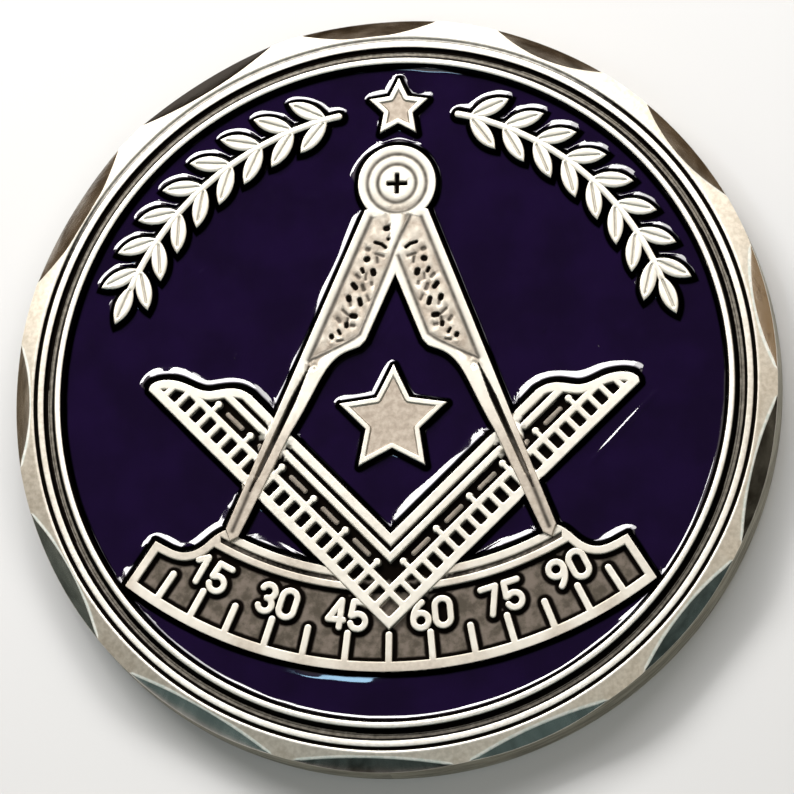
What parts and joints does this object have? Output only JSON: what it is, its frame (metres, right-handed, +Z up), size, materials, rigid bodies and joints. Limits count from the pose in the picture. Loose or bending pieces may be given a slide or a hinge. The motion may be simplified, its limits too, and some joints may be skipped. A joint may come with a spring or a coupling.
{
  "type": "challenge coin",
  "caption": "Round struck coin with a faceted edge, a recessed dark enamel face and raised square, compasses and quadrant; plain flat back.",
  "frame": {"origin": "centre of the flat back, on the surface that the coin lies on", "axes": "+Z up out of the face, +Y towards the top of the design, +X to the right of the design"},
  "size_m": [0.0444, 0.0444, 0.0035],
  "materials": {
    "coin_metal": "antique silver plate: bright worn high points, dark patina in the recesses, brushed edge facets",
    "dark_enamel": "glossy dark purple soft enamel with a meniscus along the metal"
  },
  "bodies": {
    "root": {"coin_body": "coin_metal", "field_enamel": "dark_enamel", "centre_enamel": "dark_enamel", "left_cell_enamel": "dark_enamel", "right_cell_enamel": "dark_enamel"}
  },
  "joints": []
}
